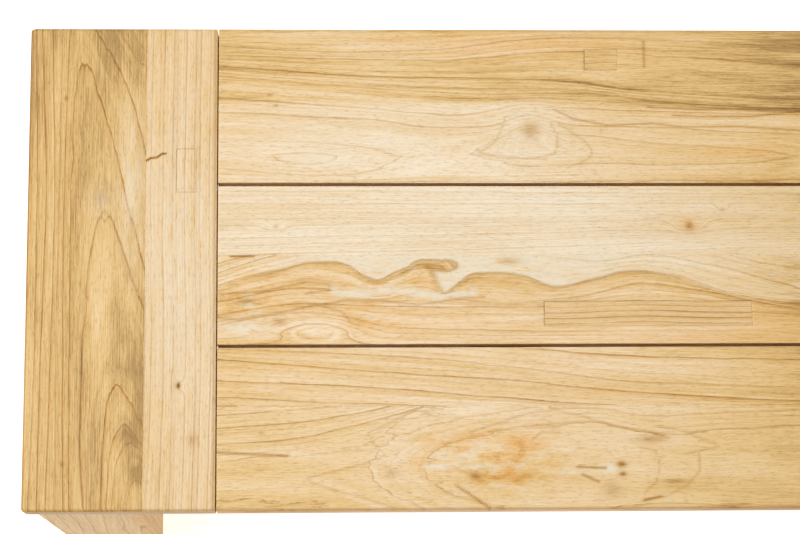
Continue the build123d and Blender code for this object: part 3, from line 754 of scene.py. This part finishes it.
# The front strip of the front plank is the liveliest piece: a big knot spreads long oval rings along
# the grain, layers come in from the left to meet them, and the knot's middle is blotched and marked.
def front_front_figure(x, y, depth):
    y = y + RING_SLOPE * depth
    layers = layered(
        y,
        (3.0, drift(x, (150, 8), (230, 12), (302, -20), (400, -60), (1350, -60))),
        (3.6, drift(x, (150, 20), (227, 24), (302, 0), (400, -30), (1350, -30))),
        (4.0, drift(x, (150, 40), (270, 52), (320, 83), (400, 98), (1350, 98))),
        (5.0, drift(x, (150, 53), (211, 57), (272, 70), (326, 85), (400, 105), (1350, 105))),
        (6.0, drift(x, (150, 66), (226, 72), (295, 84), (400, 115), (1350, 115))),
        (7.0, drift(x, (150, 77), (263, 86), (400, 125), (1350, 125))),
    )
    layers = layers - np.clip((x - 420) / 60, 0, 3)
    dx, dy = x - 455, y - 33
    reach = np.where(dx < 0, 2.9, 1 + (dx / 60) ** 2)
    spread_out = np.hypot(dx / reach, 1.25 * dy)
    knot = np.interp(spread_out, (0, 46, 60, 76, 100, 140, 220), (5.6, 5, 4, 3, 2, 1, -1))
    ring = either(layers, knot)
    ring += swell(x, y, (1010, 50), (110, 18), 1.8) - swell(x, y, (820, 60), (80, 14), 0.8)
    near_knot = np.exp(-((x - 425) / 95) ** 2) * np.exp(-((y - 36) / 34) ** 2)
    tone = 0.4 + deeper(x) + 0.14 * near_knot + 0.1 * np.clip((40 - y) / 40, 0, 1)
    tone = tone + swell(x, y, (372, 25), (32, 18), 0.16) - swell(x, y, (200, 66), (50, 12), 0.08)
    tone = tone - 0.2 * swell(x, y, (225, 45), (60, 9)) - swell(x, y, (300, 40), (24, 26), 0.12)
    warm = swell(x, y, (360, 55), (18, 9), 0.7) + swell(x, y, (315, 38), (10, 5), 0.5)
    warm += swell(x, y, (393, 54), (9, 10), 0.8) + swell(x, y, (391, 30), (12, 11), 0.8)
    warm += swell(x, y, (411, 54), (16, 8), 0.6) + swell(x, y, (325, 56), (9, 6), 0.5)
    mark = 0.2 * strokes(
        x, y, 0.9,
        [(320, 83), (297, 72), (276, 62), (281, 53), (290, 44), (272, 37), (227, 26), (232, 22), (300, 1)],
        [(358, 62), (379, 69), (407, 78), (426, 80), (450, 75), (473, 67), (501, 63), (518, 57)],
        [(508, 67), (529, 63), (560, 50), (533, 44)],
        [(495, 49), (508, 47), (511, 34), (508, 22), (498, 13)],
        [(543, 45), (543, 30), (533, 19), (516, 10), (497, 6)],
        [(407, 55), (416, 62), (431, 62)],
    )
    mark += 0.5 * strokes(
        x, y, 1.1,
        [(444, 34), (467, 33)],
        [(448, 28), (461, 22)],
        [(150, 47), (212, 44)],
        [(347, 19), (358, 12), (375, 0)],
        [(497, 7), (511, 10)],
    )
    mark += 0.7 * swell(x, y, (480, 36), (4, 2.5)) + 0.7 * swell(x, y, (481, 28), (3, 2))
    mark += 0.5 * swell(x, y, (362, 27), (5, 3)) + 0.45 * swell(x, y, (523, 22), (11, 2))
    mark += 0.35 * swell(x, y, (505, 56), (12, 3.5)) + 0.3 * swell(x, y, (191, 62), (2, 1.5))
    mark += 0.25 * swell(x, y, (295, 30), (6, 4)) + 0.25 * swell(x, y, (472, 15), (8, 7))
    chalk = 1.1 * crack(x, y, 2.2, (322, 35), (366, 34)) + 0.9 * swell(x, y, (471, 33), (8, 5))
    chalk += swell(x, y, (445, 30), (18, 3), 0.6)
    burl = 1.2 * np.exp(-((x - 378) / 55) ** 2) * np.exp(-((y - 37) / 26) ** 2)
    return ring, {"tone": tone, "warm": warm, "mark": mark, "burl": burl, "chalk": chalk,
                  "bold": 1.0 - 0.5 * near_knot, "streaky": 0.9 - 0.3 * near_knot}


lay_board("front_plank_front_strip", LENGTHWISE,
          (OUTER_ROUND, OUTER_ROUND, GLUED_ARRIS, GLUED_ARRIS), plank_end_round, 15, front_front_figure)


# Each end board is glued from a narrow inner strip and a wide outer one, both with their grain
# running from front to rear. The outer strip is flat-sawn, so its layers meet in pointed arches.
def outer_strip_figure(x, y, depth):
    x = x - RING_SLOPE * depth
    upright = layered(
        x,
        (9.0, drift(y, (0, -6), (400, -8))),
        (7.0, drift(y, (0, 5), (130, 8), (250, 8), (400, 4))),
        (6.0, drift(y, (0, 12), (130, 13), (250, 15), (400, 9))),
        (5.0, drift(y, (0, 19), (130, 21), (250, 22), (400, 18))),
        (4.0, drift(y, (0, 27), (150, 25), (250, 25.5), (400, 26))),
        (3.0, drift(y, (0, 33), (100, 31), (250, 29.5), (400, 32))),
        (2.0, drift(y, (0, 38), (100, 36), (250, 35), (340, 37), (400, 48))),
        (1.0, drift(y, (0, 49), (60, 45), (117, 46), (171, 48), (212, 52), (245, 60), (300, 82))),
        (0.0, drift(y, (0, 63), (48, 64), (81, 66), (103, 73), (135, 98))),
        (-1.0, drift(y, (0, 67), (40, 69), (58, 72), (70, 80), (100, 106))),
        (-2.0, drift(y, (0, 71), (35, 74), (57, 84), (85, 112))),
        (-3.0, drift(y, (0, 82), (13, 84), (27, 91), (60, 130))),
        (-5.0, drift(y, (0, 150), (400, 150))),
    )
    rising = layered(
        y,
        (-5.0, drift(x, (0, -60), (100, -60))),
        (-3.0, drift(x, (0, 50), (80, 37), (91, 28), (100, 18))),
        (-2.0, drift(x, (0, 90), (70, 67), (84, 58), (96, 48))),
        (-1.0, drift(x, (0, 100), (70, 80), (81, 71), (96, 53))),
        (0.0, drift(x, (0, 150), (60, 118), (75, 104), (87, 84), (96, 67))),
        (1.0, drift(x, (0, 300), (50, 264), (63, 247), (72, 229), (82, 201), (96, 164))),
        (2.0, drift(x, (0, 420), (48, 368), (58, 340), (71, 297), (82, 250), (96, 196))),
        (3.0, drift(x, (0, 470), (56, 395), (73, 367), (87, 329), (96, 296))),
        (4.0, drift(x, (0, 500), (67, 406), (96, 364))),
        (5.0, drift(x, (0, 560), (96, 412))),
    )
    ring = either(upright, rising, 9.0)
    tone = 0.75 + 0.1 * np.clip((y - 340) / 60, 0, 1) - swell(x, y, (22, 220), (22, 70), 0.08)
    tone = tone - swell(x, y, (56, 180), (9, 60), 0.14) - swell(x, y, (66, 180), (13, 60), 0.06)
    tone = tone + swell(x, y, (84, 60), (9, 12), 0.3) + swell(x, y, (82, 115), (14, 9), 0.14)
    tone = tone + swell(x, y, (74, 375), (20, 40), 0.14) + swell(x, y, (92, 32), (7, 7), 0.25)
    tone = tone + swell(x, y, (62, 258), (10, 10), 0.16)
    chalk = swell(x, y, (84, 265), (10, 60), 0.55) + swell(x, y, (58, 252), (8, 12), 0.4)
    mark = 0.5 * swell(x, y, (30, 340), (1.6, 2.2)) + 0.45 * swell(x, y, (32, 38), (1.6, 2.2))
    mark += 0.14 * crack(x, y, 1.6, (72, 58), (82, 64), (92, 55))
    mark += 0.24 * crack(x, y, 0.75, (49, 0), (45, 60), (46, 117), (48, 171), (52, 212), (57, 235),
                         (62.5, 246), (68, 239), (72, 229), (82, 201), (96, 164))
    bold = 1.35 + 0.7 * swell(x, y, (66, 130), (22, 130))
    return ring, {"tone": tone, "mark": mark, "bold": bold, "chalk": chalk, "streaky": 0.55}


# The inner strip is paler, with straight lines, a dead knot, a crooked crack nearer its rear and a
# brown band of painted shade where it meets the planks.
def inner_strip_figure(x, y, depth):
    across = x + drift(y, (0, 1.5), (130, -1), (260, 1), (400, 0))
    ring = np.interp(across, (80, 96, 101, 111, 119, 122, 129, 137, 141, 149, 170),
                     (-3, 0, 1, 2, 3, 4, 5, 6, 7, 8, 11))
    ring += swell(y, x, (101, 124), (9, 4), 0.8)
    tone = 0.4 + 0.14 * np.clip((124 - x) / 10, 0, 1) - 0.2 * np.exp(-((x - 99) / 2.5) ** 2)
    tone = tone - 0.08 * np.exp(-((y - 180) / 110) ** 2)
    warm = 0.12 + swell(y, x, (57, 135), (6, 4), 0.4)
    mark = 1.0 * swell(y, x, (101, 124), (2.4, 1.7)) + 0.25 * swell(y, x, (57, 135), (5, 3))
    mark += 1.0 * crack(x, y, 0.8, (96, 287), (100, 289.5), (105, 290), (109, 293), (112, 293))
    # A brown band of painted shade along the joint with the planks.
    mark += 0.36 * np.exp(-((x - 152.3) / 1.3) ** 2)
    chalk = 0.15 + 0.4 * swell(x, y, (125, 200), (30, 130))
    # Its joint walls take a weaker painted shade than the planks' do.
    return ring, {"tone": tone, "warm": warm, "mark": mark, "bold": 0.9, "chalk": chalk,
                  "streaky": 1.0, "gap_shade": 0.45}


def turned_round(figure):
    """The same timber at the other end of the bench, laid half a turn round."""
    length = (bench_high.x - bench_low.x) / MM
    width = (bench_high.y - bench_low.y) / MM
    return lambda x, y, depth: figure(length - x, width - y, depth)


end_round = (OUTER_ROUND, OUTER_ROUND)
glued = (GLUED_ARRIS, GLUED_ARRIS)
outer = (OUTER_ROUND, OUTER_ROUND)
joint = (ARRIS, ARRIS)
lay_board("left_end_outer_strip", CROSSWISE, (*outer, *glued), end_round, 21,
          outer_strip_figure)
lay_board("left_end_inner_strip", CROSSWISE, (*glued, *joint), end_round, 22,
          inner_strip_figure, [pocket_for("left_end_inlay", CROSSWISE)])
lay_board("right_end_inner_strip", CROSSWISE, (*joint, *glued), end_round, 23,
          turned_round(inner_strip_figure))
lay_board("right_end_outer_strip", CROSSWISE, (*glued, *outer), end_round, 24,
          turned_round(outer_strip_figure))


# Three patches of other teak are let into the seat where the makers cut out a flaw. Each is a thin
# block glued flush in its pocket, with its grain along the board's.
INLAY_FIT = 0.04 * MM
INLAY_ARRIS = 0.12 * MM


def patch_figure(first_line, pitch, base, bold):
    """Nearly straight lines along the bench, pitch apart from first_line, as strong as bold says, on
    wood whose colour is base deep. Its edges carry no painted shade."""
    def figure(x, y, depth):
        ring = (y - first_line + drift(x, (0, 0), (430, 2), (500, 0), (560, 1.5), (1500, 0))) / pitch
        return ring, {"tone": base, "warm": 0.1, "bold": bold, "gap_shade": 0.0}
    return figure


def let_in(node, along, seed, figure, arris):
    """The patch itself, a hair smaller than its pocket on all four sides, with its edges eased by
    arris. It has its board's seed, so that both have worn down alike and stay flush."""
    low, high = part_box(node)
    slack = type(low)((INLAY_FIT, INLAY_FIT, 0))
    piece = sawn_board(node + "_patch", low + slack, high - slack, along, (arris,) * 4, (arris,) * 2, seed)
    dress(piece, node, along, figure)


let_in("middle_plank_inlay", LENGTHWISE, 13, patch_figure(148, 4.6, 0.44, 1.2), 2 * INLAY_ARRIS)
let_in("rear_plank_inlay", LENGTHWISE, 11, patch_figure(360, 6.0, 0.6, 0.4), INLAY_ARRIS)
let_in("left_end_inlay", CROSSWISE, 22, inner_strip_figure, INLAY_ARRIS)


# The frame under the seat: four square legs and four aprons of the same teak, planed and left to
# weather. Each piece has its rings about another heart, in it or a few centimetres away.
frame_shades = ((0.0, linear(242, 201, 120)), (1.0, linear(198, 148, 70)))


def refinish(node, finish):
    """Gives a CAD node one finish in place of what it has."""
    nodes[node].data.materials.clear()
    nodes[node].data.materials.append(finish)


for count, node in enumerate(sorted(n for n in nodes if n.endswith("_leg"))):
    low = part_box(node)[0]
    heart = (low.x + 0.11 - 0.07 * (count % 2), low.y - 0.05 + 0.03 * count, 0)
    refinish(node, teak_face(node + "_teak", UPRIGHT, heart, tone=0.5, shades=frame_shades))
for node, along in (("front_apron", LENGTHWISE), ("rear_apron", LENGTHWISE),
                    ("left_end_apron", CROSSWISE), ("right_end_apron", CROSSWISE)):
    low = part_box(node)[0]
    heart = (low.x - 0.03, low.y - 0.05, low.z - 0.06)
    refinish(node, teak_face(node + "_teak", along, heart, tone=0.55, shades=frame_shades))


# Joinery hidden under the seat: battens, corner braces, turn buttons, loose tenons and dowels, all
# of plainer, darker offcuts of the same teak.
joinery_shades = ((0.0, linear(222, 188, 138)), (1.0, linear(182, 140, 90)))
joinery_along = {"batten": CROSSWISE, "brace": LENGTHWISE, "button": LENGTHWISE, "tenon": LENGTHWISE,
                 "dowels": UPRIGHT}
for word, along in joinery_along.items():
    finish = teak_face(f"{word}_teak", along, (0.4, 0.31, 0.27), tone=0.5, shades=joinery_shades)
    for node in (n for n in nodes if word in n):
        refinish(node, finish)


# Nylon glides nailed under the legs, of black moulded plastic with pale scuffs, and the stainless
# steel screws that hold the battens, braces and buttons.
def scuffed_nylon():
    """Dark plastic with pale scuffs where a noise is high, and a fine moulded texture."""
    nylon = Recipe("glide_nylon")
    scuff = nylon.between(nylon.noise((400, 400, 400), 4.0), 0.5, 0.75)
    colour = nylon.mix(scuff, linear(32, 30, 28), linear(92, 86, 78))
    grain = nylon.noise((3000, 3000, 3000), 2.0)
    return nylon.finish(colour, nylon.between(scuff, 0.0, 1.0, 0.42, 0.7), grain, 0.00003)


def turned_steel():
    """Stainless steel with fine level marks, as turning leaves them on an upright screw."""
    steel = Recipe("screw_steel")
    steel.surface.inputs["Metallic"].default_value = 1.0
    brushed = steel.noise((900, 900, 5000), 3.0)
    colour = steel.mix(brushed, linear(168, 168, 166), linear(205, 204, 200))
    return steel.finish(colour, steel.between(brushed, 0.3, 0.7, 0.25, 0.42), brushed, 0.00002)


for ending, finish in (("_glide", scuffed_nylon()), ("_screws", turned_steel())):
    for node in (n for n in nodes if n.endswith(ending)):
        refinish(node, finish)


# A plain pale floor, a softly lit white room, and two wide square panels of light above the bench:
# the key one beyond its left end and a weaker one above and behind it.
FLOOR_HALF = 30.0
FLOOR_GLOW = (0.95, 0.98, 1.0, 1.0)
FLOOR_GLOW_STRENGTH = 0.7
ROOM_STRENGTH = 0.24


def pale_floor():
    """White floor that keeps a little light of its own, so that it stays even under soft light."""
    floor = Recipe("floor_white")
    cloud = floor.noise((3, 3, 3), 3.0)
    colour = floor.mix(cloud, linear(246, 246, 246), linear(250, 250, 250))
    floor.surface.inputs["Emission Color"].default_value = FLOOR_GLOW
    floor.surface.inputs["Emission Strength"].default_value = FLOOR_GLOW_STRENGTH
    return floor.finish(colour, floor.between(cloud, 0.0, 1.0, 0.85, 0.9), cloud, 0.0001)


floor_mesh = bpy.data.meshes.new("floor")
floor_mesh.from_pydata([(-FLOOR_HALF, -FLOOR_HALF, 0), (FLOOR_HALF, -FLOOR_HALF, 0),
                        (FLOOR_HALF, FLOOR_HALF, 0), (-FLOOR_HALF, FLOOR_HALF, 0)], [], [(0, 1, 2, 3)])
floor = bpy.data.objects.new("floor", floor_mesh)
bpy.context.scene.collection.objects.link(floor)
floor.data.materials.append(pale_floor())

room = bpy.data.worlds.new("bright_room")
room.use_nodes = True
sky = room.node_tree.nodes["Background"]
sky.inputs["Color"].default_value = (1.0, 1.0, 1.0, 1.0)
sky.inputs["Strength"].default_value = ROOM_STRENGTH
bpy.context.scene.world = room


def soft_panel(name, place, aim, size, power):
    """A square area light at place, its face turned to aim."""
    lamp = bpy.data.lights.new(name, "AREA")
    lamp.shape = "SQUARE"
    lamp.size = size
    lamp.energy = power
    holder = bpy.data.objects.new(name, lamp)
    holder.location = place
    heading = holder.location - type(holder.location)(aim)
    holder.rotation_euler = heading.to_track_quat("Z", "Y").to_euler()
    bpy.context.scene.collection.objects.link(holder)


seat_middle = (0.0, 0.0, bench_high.z)
soft_panel("key_panel", (-2.0, 0.1, 3.3), seat_middle, size=2.4, power=74.0)
soft_panel("overhead_panel", (0.4, 0.6, 3.6), seat_middle, size=3.0, power=32.0)


# The camera looks almost straight down on the left part of the seat from a ladder's height, through a
# long lens, in millimetres for a frame 36 mm wide. A small upward shift frames the bench.
CAMERA_FROM_LEFT_END = 0.2372
CAMERA_FROM_FRONT_EDGE = -0.1622
CAMERA_HEIGHT = 2.2041
CAMERA_TURN = (10.365, -2.043, -0.522)
CAMERA_LENS = 99.0
CAMERA_SHIFT = 0.06
lens = bpy.data.cameras.new("camera")
lens.lens = CAMERA_LENS
lens.sensor_width = 36.0
lens.shift_y = CAMERA_SHIFT
lens.clip_start = 0.05
lens.clip_end = 100.0
camera = bpy.data.objects.new("camera", lens)
camera_x = bench_low.x + CAMERA_FROM_LEFT_END
camera_y = bench_low.y + CAMERA_FROM_FRONT_EDGE
camera.location = (camera_x, camera_y, CAMERA_HEIGHT)
camera.rotation_euler = [math.radians(a) for a in CAMERA_TURN]
bpy.context.scene.collection.objects.link(camera)
bpy.context.scene.camera = camera
bpy.context.scene.view_settings.view_transform = "Standard"
